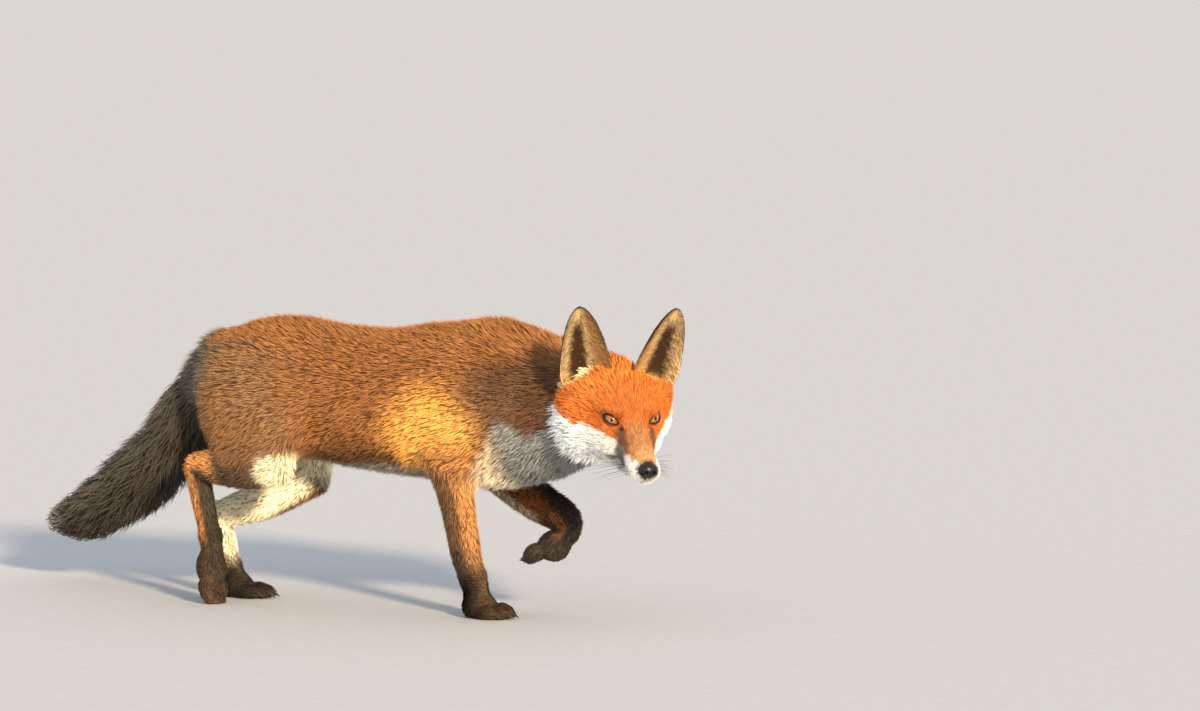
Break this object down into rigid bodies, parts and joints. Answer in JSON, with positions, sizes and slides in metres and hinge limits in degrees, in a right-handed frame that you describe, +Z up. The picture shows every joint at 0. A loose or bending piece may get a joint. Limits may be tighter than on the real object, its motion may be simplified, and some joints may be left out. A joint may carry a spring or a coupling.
{
  "type": "red fox model",
  "caption": "Life-size red fox as a still museum model: walking low, one forepaw lifted, head turned to its right.",
  "frame": {"origin": "centre of the fox's own box, on the floor", "axes": "+X the way the body walks, +Y the fox's left, +Z up"},
  "size_m": [0.8998, 0.2502, 0.3538],
  "materials": {
    "coat": "orange-brown fur with pale and dark bands",
    "face_coat": "short bright orange fur, white cheeks and chin",
    "ear_coat": "black-backed, cream inside",
    "tail_coat": "long dark grey-brown fur",
    "leg_coat": "orange and black-brown fur",
    "paw_coat": "short black-brown fur",
    "nose_leather": "moist black skin",
    "eye": "wet amber eye"
  },
  "bodies": {
    "root": {"trunk": "coat", "neck": "coat", "head": "face_coat", "ear_left": "ear_coat", "ear_right": "ear_coat", "eye_left": "eye", "eye_right": "eye", "nose": "nose_leather", "tail": "tail_coat", "leg_front_right": "leg_coat", "leg_front_left": "leg_coat", "leg_hind_right": "leg_coat", "leg_hind_left": "leg_coat", "paw_front_right": "paw_coat", "paw_front_left": "paw_coat", "paw_hind_right": "paw_coat", "paw_hind_left": "paw_coat"}
  },
  "joints": []
}
